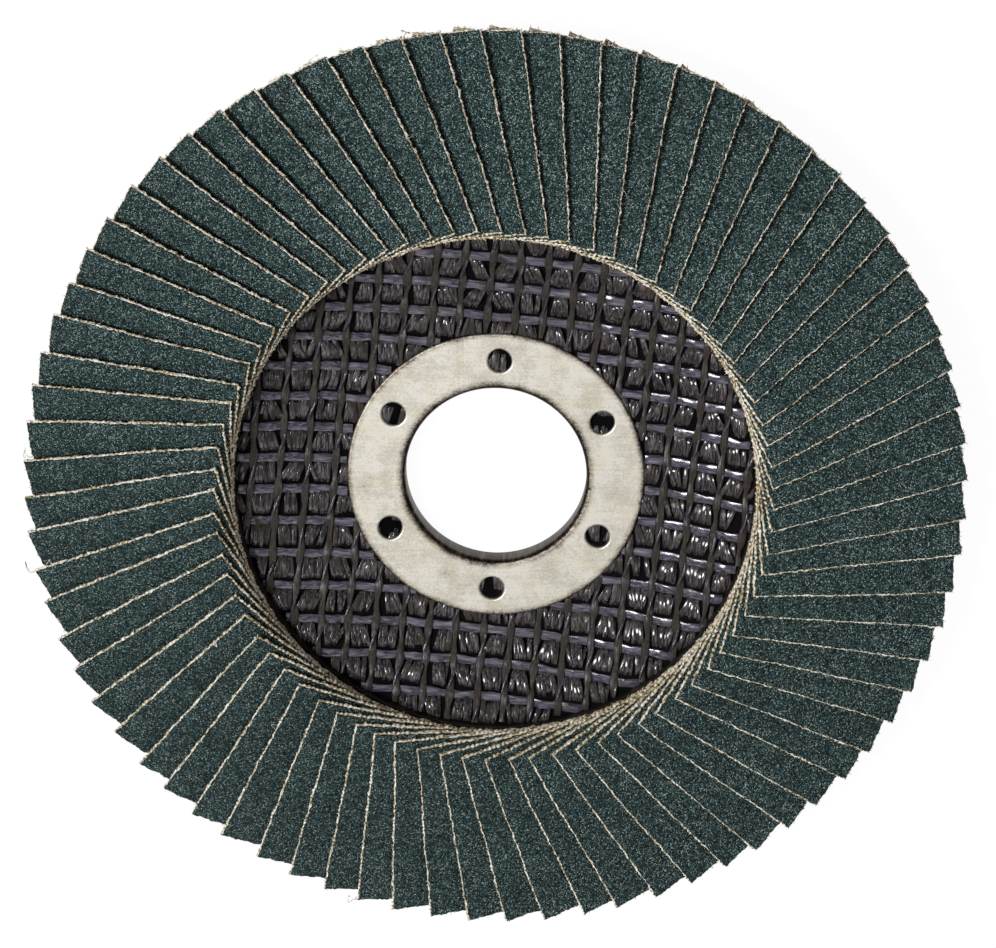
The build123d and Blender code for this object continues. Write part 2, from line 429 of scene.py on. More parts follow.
def pressed_steel(ring):
    """Plated steel sheet, stamped and tumbled: pale warm grey, speckled, scratched, darker along its edges."""
    material, add, place = start_material("stamped_plated_steel")
    cloud = add("ShaderNodeTexNoise", {"Vector": place, "Scale": 1 / (4 * MM), "Detail": 6.0, "Roughness": 0.7})
    # Pits of 0.25 mm from the tumbling
    pits = add("ShaderNodeTexNoise", {"Vector": place, "Scale": 1 / (0.25 * MM), "Detail": 3.0, "Roughness": 0.7})
    # Rolling scratches, as fine as hairs on the real sheet, are drawn 0.3 mm apart so that they show
    drawn = add("ShaderNodeMapping", {"Vector": place, "Rotation": (0, 0, 1.0), "Scale": (0.07, 1, 1)})
    scratch = add("ShaderNodeTexNoise", {"Vector": drawn, "Scale": 1 / (0.3 * MM), "Detail": 3.0})
    total = add("ShaderNodeMath", {0: pits, 1: 0.55, 2: cloud}, operation="MULTIPLY_ADD")
    total = add("ShaderNodeMath", {0: scratch, 1: 0.3, 2: total}, operation="MULTIPLY_ADD")
    # Darker within 0.8 mm of the lip and of the outer edge; 0.435 mm of the lip counts as bore
    half = (ring.radius - ring.bore - 0.435 * MM) / 2
    flat = add("ShaderNodeVectorMath", {0: place, 1: (1, 1, 0)}, operation="MULTIPLY")
    radius = add("ShaderNodeVectorMath", {0: flat}, operation="LENGTH")
    middle = add("ShaderNodeMath", {0: radius, 1: ring.radius - half}, operation="SUBTRACT")
    middle = add("ShaderNodeMath", {0: middle}, operation="ABSOLUTE")
    edge_darkening = add(
        "ShaderNodeMapRange",
        {"Value": middle, "From Min": half - 0.8 * MM, "From Max": half + 0.1 * MM, "To Max": -0.55},
    )
    total = add("ShaderNodeMath", {0: total, 1: edge_darkening}, operation="ADD")
    stops = tones(
        "steel", (0.35, "#2b2621"), (0.6, "#989085"), (0.74, "#c3bdb0"), (0.92, "#d3cec2"), (1.0, "#e1dcd2")
    )
    colour = add("ShaderNodeValToRGB", {"Fac": total}, stops)
    # Yellowed stains of 2.5 mm
    stain = add("ShaderNodeTexNoise", {"Vector": place, "Scale": 1 / (2.5 * MM), "Detail": 4.0})
    stain = add("ShaderNodeMapRange", {"Value": stain, "From Min": 0.5, "From Max": 0.75, "To Max": 0.3})
    stained = tones("steel", (1.0, "#cfc39d"))[0][1]
    colour = add("ShaderNodeMix", {0: stain, 6: colour, 7: stained}, data_type="RGBA")
    bump = add("ShaderNodeBump", {"Height": total, "Distance": 0.05 * MM, "Strength": 0.5})
    return finish_material(material, Base_Color=colour, Normal=bump, Metallic=0.9, Roughness=0.48)


def collar_steel_painted_shade():
    """Inside of the drawn collar: the same sheet, left dull by the press tool, its colour painted dark brown as
    painted shade and dim reflection inside the bore.
    """
    material, add, place = start_material("collar_steel_in_painted_shade")
    # Draw marks run up the wall, 0.5 mm apart
    drawn = add("ShaderNodeVectorMath", {0: place, 1: (1, 1, 0.1)}, operation="MULTIPLY")
    marks = add("ShaderNodeTexNoise", {"Vector": drawn, "Scale": 1 / (0.5 * MM), "Detail": 3.0})
    # Painted shade: dark browns stand for the shade and dim reflections inside the bore, with the draw marks in them
    stops = tones("steel", (0.35, "#1c1712"), (0.5, "#2e261e"), (0.65, "#54493c"))
    colour = add("ShaderNodeValToRGB", {"Fac": marks}, stops)
    return finish_material(material, Base_Color=colour, Metallic=0.9, Roughness=0.4)


def moulded_resin():
    """Phenolic resin pressed black between the strands: dull in the pits, with brown flow patches."""
    material, add, place = start_material("pressed_phenolic_resin")
    flow = add("ShaderNodeTexNoise", {"Vector": place, "Scale": 1 / (5 * MM), "Detail": 4.0})
    stops = tones("resin", (0.35, "#030303"), (0.6, "#070607"), (0.8, "#1c150f"))
    colour = add("ShaderNodeValToRGB", {"Fac": flow}, stops)
    lumps = add("ShaderNodeTexNoise", {"Vector": place, "Scale": 1 / (1.2 * MM), "Detail": 3.0})
    bump = add("ShaderNodeBump", {"Height": lumps, "Distance": 0.3 * MM, "Strength": 0.5})
    return finish_material(
        material, Base_Color=colour, Normal=bump, Roughness=0.8, IOR=1.5, Specular_IOR_Level=0.1
    )


def pressed_laminate(plate):
    """Back of the pressed plate: woven glass under a skin of black resin, half matt, its weave faintly raised."""
    material, add, place = start_material("black_glass_laminate")
    lined = add("ShaderNodeMapping", {"Vector": place, "Rotation": (0, 0, -plate.mesh_turn)})
    parts = add("ShaderNodeSeparateXYZ", {0: lined}).outputs
    waves = [wave(add, part, pitch) for part, pitch in zip(parts, (plate.warp_pitch, plate.weft_pitch))]
    weave = add("ShaderNodeMath", {0: waves[0], 1: waves[1]}, operation="MULTIPLY")
    # Threads of 0.8 mm show through the skin
    cloud = add("ShaderNodeTexNoise", {"Vector": place, "Scale": 1 / (0.8 * MM), "Detail": 5.0})
    mixed = add("ShaderNodeMath", {0: weave, 1: 0.12, 2: cloud}, operation="MULTIPLY_ADD")
    stops = tones("resin", (0.3, "#0d0c0c"), (0.5, "#1a1819"), (0.72, "#322f30"))
    colour = add("ShaderNodeValToRGB", {"Fac": mixed}, stops)
    bump = add("ShaderNodeBump", {"Height": mixed, "Distance": 0.4 * MM, "Strength": 0.6})
    return finish_material(material, Base_Color=colour, Normal=bump, Roughness=0.5, IOR=1.55)


def soaked_glass(name, turn, roughness, grooves, tints, rubbed):
    """Glass roving soaked in resin: filament streaks along the strand, dull brown where it was rubbed.

    Tints run from the gaps between filaments to their tops, grooves is the depth of those gaps and rubbed the
    share of dull brown.
    """
    material, add, place = start_material("resin_soaked_glass_" + name)
    lined = add("ShaderNodeMapping", {"Vector": place, "Rotation": (0, 0, -turn)})
    drawn = add("ShaderNodeVectorMath", {0: lined, 1: (0.08, 1.0, 1.0)}, operation="MULTIPLY")
    # Filaments of 0.02 mm would not show, so they are drawn in bundles of 0.2 mm
    streak = add("ShaderNodeTexNoise", {"Vector": drawn, "Scale": 1 / (0.2 * MM), "Detail": 3.0})
    glass = add("ShaderNodeValToRGB", {"Fac": streak}, tones("glass", *zip((0.32, 0.46, 0.58, 0.72), tints)))
    cloud = add("ShaderNodeTexNoise", {"Vector": place, "Scale": 1 / (2.2 * MM), "Detail": 4.0})
    least = 0.62 - 0.3 * rubbed
    dull = add("ShaderNodeMapRange", {"Value": cloud, "From Min": least, "From Max": least + 0.1})
    stops = tones("glass", (0.3, "#110d0b"), (0.55, "#2d251f"), (0.78, "#5c4430"))
    tint = add("ShaderNodeValToRGB", {"Fac": streak}, stops)
    colour = add("ShaderNodeMix", {0: dull, 6: glass, 7: tint}, data_type="RGBA")
    rough = add("ShaderNodeMapRange", {"Value": dull, "To Min": roughness, "To Max": 0.8})
    bump = add("ShaderNodeBump", {"Height": streak, "Distance": grooves, "Strength": 0.6})
    return finish_material(material, Base_Color=colour, Normal=bump, Roughness=rough, IOR=1.6)


def epoxy_painted_as_shade():
    """Filled epoxy that has squeezed out under the flaps, half matt: its brown is painted down to near black as
    painted shade, so that the bead reads as the dark gap under the flaps.
    """
    material, add, place = start_material("filled_epoxy_painted_shade")
    cloud = add("ShaderNodeTexNoise", {"Vector": place, "Scale": 1 / (1.5 * MM), "Detail": 4.0})
    # Painted shade: near black with a few brown patches, standing for the shadow in the gap between mesh and flaps
    stops = tones("adhesive", (0.35, "#060504"), (0.6, "#0f0a07"), (0.78, "#3a2615"))
    colour = add("ShaderNodeValToRGB", {"Fac": cloud}, stops)
    return finish_material(material, Base_Color=colour, Roughness=0.55)


def white_paper():
    """Paper sweep under the disc: matt, seen white, and still lit and shadowed a little."""
    material = bpy.data.materials.new("white_paper_floor")
    material.use_nodes = True
    material.node_tree.nodes.clear()
    add = functools.partial(add_node, material.node_tree)
    path = add("ShaderNodeLightPath").outputs
    seen = add("ShaderNodeMath", {0: path["Is Camera Ray"], 1: path["Is Glossy Ray"]}, operation="ADD")
    seen = add("ShaderNodeMath", {0: seen, 1: path["Is Transmission Ray"]}, operation="ADD", use_clamp=True)
    # What is seen is nearly all glow, a little over white, and for the rest lit paper that takes the shadow
    part = add("ShaderNodeMath", {0: seen, 1: 0.92}, operation="MULTIPLY")
    paper = add("ShaderNodeBsdfDiffuse", {"Color": list(bpy.context.scene.flapdisc_finish.floor)})
    glow = add("ShaderNodeEmission", {"Color": (1, 1, 1, 1), "Strength": 1.04})
    mixed = add("ShaderNodeMixShader", {0: part, 1: paper, 2: glow})
    add("ShaderNodeOutputMaterial", {"Surface": mixed})
    return material


# ---------------------------------------------------------------- backing plate


class FLAPDISC_OT_plate(bpy.types.Operator):
    """Build the backing plate's smooth pressed body"""

    bl_idname = "flapdisc.plate"
    bl_label = "Backing plate"

    def execute(self, context):
        plate = context.scene.flapdisc_plate
        piece = mesh_piece("pressed_plate", pressed_body(plate), [moulded_resin(), pressed_laminate(plate)])
        settle(piece, ["backing_plate"])
        return {"FINISHED"}


def pressed_body(plate):
    """The plate turned from its section, in a bmesh: resin face first, laminate on its back and rim."""
    sizes = (plate.bore, plate.hub_radius, plate.crest_radius, plate.rim_radius, plate.hub_height, plate.rim_thickness)
    bore, hub, crest, rim, height, thickness = (size / MM for size in sizes)
    slope, fall = math.tan(plate.slope), math.tan(plate.fall)
    # Height at which rise and flange would meet in a sharp crest, and of the rim's front edge
    top = height + slope * (crest - hub)
    edge = top - fall * (rim - crest)
    # (radius, height) in millimetres; each bend is eased by two corners or more
    outline = [
        (bore, height),
        (hub - 0.1, height),
        (hub + 0.6, height + 0.16),
        (crest - 0.8, top - 0.8 * slope),
        (crest - 0.2, top - 0.1),
        (crest + 0.4, top - 0.12),
        (crest + 1.2, top - 1.2 * fall),
        (rim, edge),
        (rim, edge - thickness),
        (crest + 0.4, top - 2.32),
        (crest - 0.4, top - 2.5),
        (hub - 0.7, 0.12),
        (hub - 1.2, 0.0),
        (bore, 0.0),
    ]
    bm = bmesh.new()
    rings = [circle(bm, (0.0, 0.0), radius, level, 192) for radius, level in outline]
    for ring, after in zip(rings, rings[1:] + rings[:1]):
        bridge(bm, ring, after)
    bmesh.ops.recalc_face_normals(bm, faces=bm.faces)
    for face in bm.faces:
        if face.normal.z < -0.2 or face.calc_center_median().xy.length > (rim - 0.5) * MM:
            face.material_index = 1
    return bm


def circle(bm, centre, radius, height, count, wobble=0.0):
    """Closed loop of vertices, with sizes in millimetres; wobble makes it a little less than round."""
    ring = []
    for step in range(count):
        angle = TAU * step / count
        reach = radius + wobble * (math.sin(2 * angle + 40 * centre[0]) + 0.6 * math.sin(3 * angle + centre[1]))
        x, y = centre[0] + reach * math.cos(angle), centre[1] + reach * math.sin(angle)
        ring.append(bm.verts.new((x * MM, y * MM, height * MM)))
    return ring


# ---------------------------------------------------------------- glass mesh


PLATE_INPUTS = {
    "Hub radius": "Float",
    "Hub height": "Float",
    "Slope": "Float",
    "Crest radius": "Float",
    "Crest height": "Float",
    "Fall": "Float",
    "Ring radius": "Float",
    "Inner": "Float",
    "Outer": "Float",
    "Turn": "Float",
    "Material": "Material",
}
# Half the square that strands and bundles are laid out on, a little more than the crest's radius
MESH_REACH = 32 * MM


def plate_values(scene):
    """Values for the inputs that every tree on the plate shares, apart from the turn and the material."""
    plate, ring = scene.flapdisc_plate, scene.flapdisc_ring
    return {
        "Hub radius": plate.hub_radius,
        "Hub height": plate.hub_height,
        "Slope": math.tan(plate.slope),
        "Crest radius": plate.crest_radius,
        "Crest height": plate.crest_height,
        "Fall": math.tan(plate.fall),
        "Ring radius": ring.radius,
        # The keying holes are filled from a little inside them
        "Inner": ring.hole_circle - ring.hole_radius - 0.7 * MM,
        "Outer": scene.flapdisc_flaps.inner - 0.2 * MM,
    }


def row_of_points(add, axis, count, start, step):
    """Nodes for a straight row of points along an axis."""
    first, ahead = (add("ShaderNodeCombineXYZ", {axis: value}) for value in (start, step))
    return add("GeometryNodeMeshLine", {"Count": count, "Start Location": first, "Offset": ahead}, mode="OFFSET")


def plate_face(add, given, flat):
    """Nodes for the height of the resin face under a flat vector; return the height and the radius."""
    radius = add("ShaderNodeVectorMath", {0: flat}, operation="LENGTH")
    past = add("ShaderNodeMath", {0: radius, 1: given["Hub radius"]}, operation="SUBTRACT")
    # A soft maximum rounds the bend between hub and rise, a soft minimum the crest
    past = add("ShaderNodeMath", {0: past, 1: 0.0, 2: 1.5 * MM}, operation="SMOOTH_MAX")
    rise = add("ShaderNodeMath", {0: past, 1: given["Slope"], 2: given["Hub height"]}, operation="MULTIPLY_ADD")
    short = add("ShaderNodeMath", {0: given["Crest radius"], 1: radius}, operation="SUBTRACT")
    fall = add("ShaderNodeMath", {0: short, 1: given["Fall"], 2: given["Crest height"]}, operation="MULTIPLY_ADD")
    return add("ShaderNodeMath", {0: rise, 1: fall, 2: 0.5 * MM}, operation="SMOOTH_MIN"), radius


def press_down(add, given, proud, level, radius, least):
    """Nodes for the height of what stands proud of a level, pressed flatter beside the ring's edge."""
    edge = add("ShaderNodeMath", {0: radius, 1: given["Ring radius"]}, operation="SUBTRACT")
    pressed = add("ShaderNodeMapRange", {"Value": edge, "From Max": 0.6 * MM, "To Min": least, "To Max": 1.0})
    return add("ShaderNodeMath", {0: proud, 1: pressed, 2: level}, operation="MULTIPLY_ADD")


def keep_on_plate(add, given, geometry):
    """Nodes that delete the points nearer than the inner reach or past the outer one."""
    place = add("GeometryNodeInputPosition")
    flat = add("ShaderNodeVectorMath", {0: place, 1: (1, 1, 0)}, operation="MULTIPLY")
    distance = add("ShaderNodeVectorMath", {0: flat}, operation="LENGTH")
    near = add("ShaderNodeMath", {0: distance, 1: given["Inner"]}, operation="LESS_THAN")
    far = add("ShaderNodeMath", {0: distance, 1: given["Outer"]}, operation="GREATER_THAN")
    outside = add("ShaderNodeMath", {0: near, 1: far}, operation="ADD")
    return add("GeometryNodeDeleteGeometry", {"Geometry": geometry, "Selection": outside}, domain="POINT")


def finish_tree(add, given, geometry, made):
    """Nodes that turn a geometry on the disc, smooth it, give it its material and put it out."""
    spin = add("ShaderNodeCombineXYZ", {"Z": given["Turn"]})
    turned = add("GeometryNodeTransform", {"Geometry": geometry, "Rotation": spin})
    smooth = add("GeometryNodeSetShadeSmooth", {"Geometry": turned})
    dressed = add("GeometryNodeSetMaterial", {"Geometry": smooth, "Material": given["Material"]})
    add("NodeGroupOutput", {made: dressed})


def strand_tree():
    """Geometry Nodes tree that lays strands over hub and rise, waving over and under what crosses them."""
    courses = ("First", "Pitch", "Start", "Step", "Cross pitch", "Cross shift", "Wander", "Roll", "Twist", "Weave")
    sections = ("Width", "Thickness", "Corner", "Swell", "Uneven", "Lift", "Fibre")
    tree, add, given = start_tree(
        "glass_strands",
        {
            "Base": "Geometry",
            "Strands": "Int",
            "Samples": "Int",
            **dict.fromkeys(courses + sections, "Float"),
            **PLATE_INPUTS,
        },
        "Strands",
    )
    run = row_of_points(add, "X", given["Samples"], given["Start"], given["Step"])
    lanes = row_of_points(add, "Y", given["Strands"], given["First"], given["Pitch"])
    laid = add("GeometryNodeInstanceOnPoints", {"Points": lanes, "Instance": run})
    marked = add(
        "GeometryNodeStoreNamedAttribute",
        {"Geometry": laid, "Name": "lane", "Value": add("GeometryNodeInputIndex")},
        data_type="FLOAT",
        domain="INSTANCE",
    )
    real = add("GeometryNodeRealizeInstances", {"Geometry": marked})
    lane = add("GeometryNodeInputNamedAttribute", {"Name": "lane"}, data_type="FLOAT")
    place = add("GeometryNodeInputPosition")
    parts = add("ShaderNodeSeparateXYZ", {0: place}).outputs
    # Where along the crossing strands' pitch a point lies, in half turns
    along = add("ShaderNodeMath", {0: parts[0], 1: given["Cross shift"]}, operation="SUBTRACT")
    beat = add("ShaderNodeMath", {0: along, 1: given["Cross pitch"]}, operation="DIVIDE")
    phase = add("ShaderNodeMath", {0: beat, 1: math.pi}, operation="MULTIPLY")
    # A wound yarn swaps sides from crossing to crossing
    swapped = add("ShaderNodeMath", {0: lane, 1: math.pi, 2: phase}, operation="MULTIPLY_ADD")
    sideways = add("ShaderNodeMath", {0: swapped}, operation="COSINE")
    twisted = add("ShaderNodeMath", {0: swapped}, operation="SINE")
    double = add("ShaderNodeMath", {0: phase, 1: 2.0}, operation="MULTIPLY")
    crown = add("ShaderNodeMath", {0: double}, operation="COSINE")
    spot = add("ShaderNodeCombineXYZ", {"X": parts[0], "Y": lane, "Z": parts[1]})
    across = uneven(add, spot, 4 * MM, given["Wander"], parts[1], Detail=2.0)
    across = add("ShaderNodeMath", {0: sideways, 1: given["Twist"], 2: across}, operation="MULTIPLY_ADD")
    flat = add("ShaderNodeCombineXYZ", {"X": parts[0], "Y": across})
    level, radius = plate_face(add, given, flat)
    proud = add("ShaderNodeMath", {0: crown, 1: given["Weave"], 2: given["Lift"]}, operation="MULTIPLY_ADD")
    proud = add("ShaderNodeMath", {0: twisted, 1: given["Twist"], 2: proud}, operation="MULTIPLY_ADD")
    level = press_down(add, given, proud, level, radius, 0.45)
    course = add("ShaderNodeCombineXYZ", {"X": parts[0], "Y": across, "Z": level})
    noted = add(
        "GeometryNodeStoreNamedAttribute",
        {"Geometry": real, "Name": "crown", "Value": crown},
        data_type="FLOAT",
        domain="POINT",
    )
    draped = add("GeometryNodeSetPosition", {"Geometry": noted, "Position": course})
    curve = add("GeometryNodeMeshToCurve", {"Mesh": keep_on_plate(add, given, draped)})
    # A strand is broadest where it lies on top, and worn unevenly
    crowned = add("GeometryNodeInputNamedAttribute", {"Name": "crown"}, data_type="FLOAT")
    broad = add("ShaderNodeMath", {0: crowned, 1: given["Swell"], 2: 1.0}, operation="MULTIPLY_ADD")
    broad = uneven(add, place, 1.7 * MM, given["Uneven"], broad, Detail=2.0)
    sized = add("GeometryNodeSetCurveRadius", {"Curve": curve, "Radius": broad})
    upright = add("GeometryNodeSetCurveNormal", {"Curve": sized}, mode="Z_UP")
    rocking = uneven(add, place, 2.5 * MM, given["Roll"], Detail=1.0)
    rolled = add("GeometryNodeSetCurveTilt", {"Curve": upright, "Tilt": rocking})
    section = add(
        "GeometryNodeCurvePrimitiveQuadrilateral",
        {"Width": given["Width"], "Height": given["Thickness"]},
        mode="RECTANGLE",
    )
    profile = add("GeometryNodeFilletCurve", {"Curve": section, "Radius": given["Corner"], "Count": 2}, mode="POLY")
    swept = add(
        "GeometryNodeCurveToMesh",
        {"Curve": rolled, "Profile Curve": profile, "Scale": add("GeometryNodeInputRadius"), "Fill Caps": True},
    )
    # Fibres of 0.3 mm, drawn out along the strand
    drawn = add("ShaderNodeVectorMath", {0: place, 1: (0.12, 1.0, 1.0)}, operation="MULTIPLY")
    lumps = uneven(add, drawn, 0.3 * MM, given["Fibre"], Detail=2.0)
    normal = add("GeometryNodeInputNormal")
    shift = add("ShaderNodeVectorMath", {0: normal, "Scale": lumps}, operation="SCALE")
    fibrous = add("GeometryNodeSetPosition", {"Geometry": swept, "Offset": shift})
    finish_tree(add, given, fibrous, "Strands")
    return tree


class FLAPDISC_OT_strands(bpy.types.Operator):
    """Build the glass mesh's flat ribbons and its upright strands, each a cap with a twine wound round it"""

    bl_idname = "flapdisc.strands"
    bl_label = "Glass mesh"

    def execute(self, context):
        plate = context.scene.flapdisc_plate
        tree = strand_tree()
        flat, upright = plate.mesh_turn, plate.mesh_turn + math.pi / 2
        # The ribbons' violet grey is partly the glass's own tone and partly painted reflection of the light overhead
        # on their glossy resin
        ribbon = soaked_glass("ribbon", flat, 0.14, 0.012 * MM, ("#26232a", "#454150", "#5d5765", "#86818e"), 0.1)
        cap = soaked_glass("cap", upright, 0.42, 0.12 * MM, ("#0d0b0a", "#1d1917", "#302925", "#524841"), 0.65)
        twine = soaked_glass("twine", upright, 0.25, 0.06 * MM, ("#18161a", "#2f2c33", "#4a4650", "#6f6a76"), 0.3)
        # Name, turn, pitch, crossing pitch and material of each family
        families = (
            ("ribbons", flat, plate.weft_pitch, plate.warp_pitch, ribbon),
            ("caps", upright, plate.warp_pitch, plate.weft_pitch, cap),
            ("twines", upright, plate.warp_pitch, plate.weft_pitch, twine),
        )
        # Lengths in millimetres, and plain shares, of the three families in turn
        lengths = {
            "First": (-0.05, -0.45, -0.45),
            "Cross shift": (0.45, -0.05, -0.05),
            "Wander": (0.8, 0.8, 0.8),
            "Weave": (-0.06, 0.12, 0.0),
            "Twist": (0.0, 0.0, 0.34),
            "Width": (1.1, 0.82, 0.36),
            "Thickness": (0.3, 0.36, 0.3),
            "Corner": (0.11, 0.14, 0.12),
            "Lift": (0.15, 0.2, 0.14),
            "Fibre": (0.07, 0.22, 0.08),
        }
        shares = {"Swell": (0.0, 0.25, 0.0), "Uneven": (0.9, 1.0, 0.8), "Roll": (0.4, 0.7, 0.4)}
        step = 0.4 * MM
        reach = round(MESH_REACH / step)
        for place, (name, turn, pitch, crossing, material) in enumerate(families):
            beside = math.ceil(MESH_REACH / pitch)
            values = {
                **plate_values(context.scene),
                **{label: row[place] * MM for label, row in lengths.items()},
                **{label: row[place] for label, row in shares.items()},
                "Strands": 2 * beside + 1,
                "First": lengths["First"][place] * MM - beside * pitch,
                "Pitch": pitch,
                "Samples": 2 * reach + 1,
                "Start": -reach * step,
                "Step": step,
                "Cross pitch": crossing,
                "Inner": context.scene.flapdisc_ring.radius - 0.05 * MM,
                "Turn": turn,
                "Material": material,
            }
            start = mesh_object(name, bpy.data.meshes.new(name))
            settle(run_tree(start, tree, "glass_" + name, values))
        return {"FINISHED"}


def filament_bundle():
    """One short arched bundle of filaments, 3.1 mm long, lying along Y."""
    # Place along the bundle, height of its middle and half its width, in millimetres
    course = (
        (-1.55, -0.34, 0.24),
        (-1.35, 0.04, 0.29),
        (-0.75, 0.25, 0.32),
        (0.1, 0.29, 0.32),
        (0.95, 0.22, 0.31),
        (1.55, -0.08, 0.24),
    )
    # A section of eight corners, square with rounded edges and less high than wide
    angles = [TAU * (step + 0.5) / 8 for step in range(8)]
    squareness, flatness = 0.35, 0.45
    bm = bmesh.new()
    rings = []
    for along, height, half in course:
        ring = []
        for angle in angles:
            wide = half * math.copysign(abs(math.cos(angle)) ** squareness, math.cos(angle))
            high = flatness * half * math.copysign(abs(math.sin(angle)) ** squareness, math.sin(angle))
            ring.append(bm.verts.new((wide * MM, along * MM, (height + high) * MM)))
        rings.append(ring)
    close_tube(bm, rings)
    bmesh.ops.recalc_face_normals(bm, faces=bm.faces)
    return mesh_piece("filament_bundle", bm, [])


def bundle_tree():
    """Geometry Nodes tree that fills the mesh's openings with short upright bundles of filaments."""
    courses = ("Lane pitch", "Row pitch", "First lane", "First row", "Warp pitch", "Warp shift", "Clear")
    chances = ("Missing", "Lift low", "Lift high", "Slant")
    tree, add, given = start_tree(
        "filament_bundles",
        {
            "Bundle": "Geometry",
            "Lanes": "Int",
            "Rows": "Int",
            "Seed": "Int",
            **dict.fromkeys(courses + chances, "Float"),
            **PLATE_INPUTS,
        },
        "Bundles",
    )
    lanes = row_of_points(add, "X", given["Lanes"], given["First lane"], given["Lane pitch"])
    rows = row_of_points(add, "Y", given["Rows"], given["First row"], given["Row pitch"])
    spread = add("GeometryNodeInstanceOnPoints", {"Points": rows, "Instance": lanes})
    spread = add("GeometryNodeRealizeInstances", {"Geometry": spread})
    place = add("GeometryNodeInputPosition")
    parts = add("ShaderNodeSeparateXYZ", {0: place}).outputs
    # No bundle where a warp stands
    beside = add("ShaderNodeMath", {0: parts[0], 1: given["Warp shift"]}, operation="SUBTRACT")
    half = add("ShaderNodeMath", {0: given["Warp pitch"], 1: 0.5}, operation="MULTIPLY")
    gap = add("ShaderNodeMath", {0: beside, 1: half}, operation="PINGPONG")
    under = add("ShaderNodeMath", {0: gap, 1: given["Clear"]}, operation="LESS_THAN")
    rest = add("GeometryNodeDeleteGeometry", {"Geometry": spread, "Selection": under}, domain="POINT")
    # A few bundles are missing
    lot = add("FunctionNodeRandomValue", {2: 0.0, 3: 1.0, "Seed": given["Seed"]}, data_type="FLOAT")
    missing = add("ShaderNodeMath", {0: lot, 1: given["Missing"]}, operation="LESS_THAN")
    rest = add("GeometryNodeDeleteGeometry", {"Geometry": rest, "Selection": missing}, domain="POINT")
    points = add("GeometryNodeMeshToPoints", {"Mesh": keep_on_plate(add, given, rest)})
    # Least and most of each bundle's own shift, lean and size
    ranges = (
        ((-0.05 * MM, -0.14 * MM, -0.09 * MM), (0.05 * MM, 0.14 * MM, 0.07 * MM)),
        ((-0.14, -0.13, -0.16), (0.14, 0.13, 0.16)),
        ((0.85, 0.85, 0.9), (1.25, 1.12, 1.35)),
    )
    nudge, lean, size = (
        add("FunctionNodeRandomValue", {0: least, 1: most, "Seed": given["Seed"]}, data_type="FLOAT_VECTOR")
        for least, most in ranges
    )
    # Neighbouring bundles of one opening stand high or low together
    swell = add("ShaderNodeTexNoise", {"Vector": place, "Scale": 1 / (2.6 * MM), "Detail": 0.0})
    span = {"From Min": 0.3, "From Max": 0.7}
    swell = add(
        "ShaderNodeMapRange", {"Value": swell, **span, "To Min": given["Lift low"], "To Max": given["Lift high"]}
    )
    swell = add("ShaderNodeCombineXYZ", {"Z": swell})
    moved = add("ShaderNodeVectorMath", {0: nudge, 1: swell}, operation="ADD")
    nudged = add("GeometryNodeSetPosition", {"Geometry": points, "Offset": moved})
    # The bundles of one opening lean sideways together
    slant = add("ShaderNodeTexNoise", {"Vector": place, "Scale": 1 / (3.2 * MM), "Detail": 0.0})
    other = add("ShaderNodeMath", {0: given["Slant"], 1: -1.0}, operation="MULTIPLY")
    slant = add("ShaderNodeMapRange", {"Value": slant, **span, "To Min": other, "To Max": given["Slant"]})
    slant = add("ShaderNodeCombineXYZ", {"Z": slant})
    slant = add("ShaderNodeVectorMath", {0: slant, 1: lean}, operation="ADD")
    stood = add(
        "GeometryNodeInstanceOnPoints",
        {"Points": nudged, "Instance": given["Bundle"], "Rotation": slant, "Scale": size},
    )
    real = add("GeometryNodeRealizeInstances", {"Geometry": stood})
    flat = add("ShaderNodeVectorMath", {0: place, 1: (1, 1, 0)}, operation="MULTIPLY")
    level, radius = plate_face(add, given, flat)
    height = press_down(add, given, parts[2], level, radius, 0.7)
    course = add("ShaderNodeCombineXYZ", {"X": parts[0], "Y": parts[1], "Z": height})
    draped = add("GeometryNodeSetPosition", {"Geometry": real, "Position": course})
    finish_tree(add, given, draped, "Bundles")
    return tree


class FLAPDISC_OT_bundles(bpy.types.Operator):
    """Fill the glass mesh's openings with short bundles of filaments"""

    bl_idname = "flapdisc.bundles"
    bl_label = "Filament bundles"

    def execute(self, context):
        plate = context.scene.flapdisc_plate
        upright = plate.mesh_turn + math.pi / 2
        tints = ("#0f0d0e", "#2c2729", "#4a4446", "#7a7478")
        # Eight lanes to a warp's pitch, of which the warp covers some
        lane = plate.warp_pitch / 8
        lanes, rows = round(MESH_REACH / lane), round(MESH_REACH / plate.weft_pitch)
        values = {
            **plate_values(context.scene),
            "Lanes": 2 * lanes + 1,
            "Rows": 2 * rows + 1,
            "Lane pitch": lane,
            "Row pitch": plate.weft_pitch,
            "First lane": 0.45 * MM - lanes * lane,
            "First row": 2.15 * MM - rows * plate.weft_pitch,
            "Warp pitch": plate.warp_pitch,
            "Warp shift": 0.45 * MM,
            "Clear": 0.6 * MM,
            "Missing": 0.06,
            "Lift low": -0.22 * MM,
            "Lift high": 0.12 * MM,
            "Slant": 0.45,
            "Seed": 4,
            "Turn": plate.mesh_turn,
            "Material": soaked_glass("bundle", upright, 0.16, 0.014 * MM, tints, 0.35),
        }
        settle(run_tree(filament_bundle(), bundle_tree(), "glass_bundles", values))
        return {"FINISHED"}


# ---------------------------------------------------------------- steel ring and adhesive


def fill(bm, rings):
    """Fill the flat space between closed loops."""
    edges = []
    for ring in rings:
        for pair in zip(ring, ring[1:] + ring[:1]):
            edges.append(bm.edges.get(pair) or bm.edges.new(pair))
    bmesh.ops.triangle_fill(bm, use_beauty=True, edges=edges)


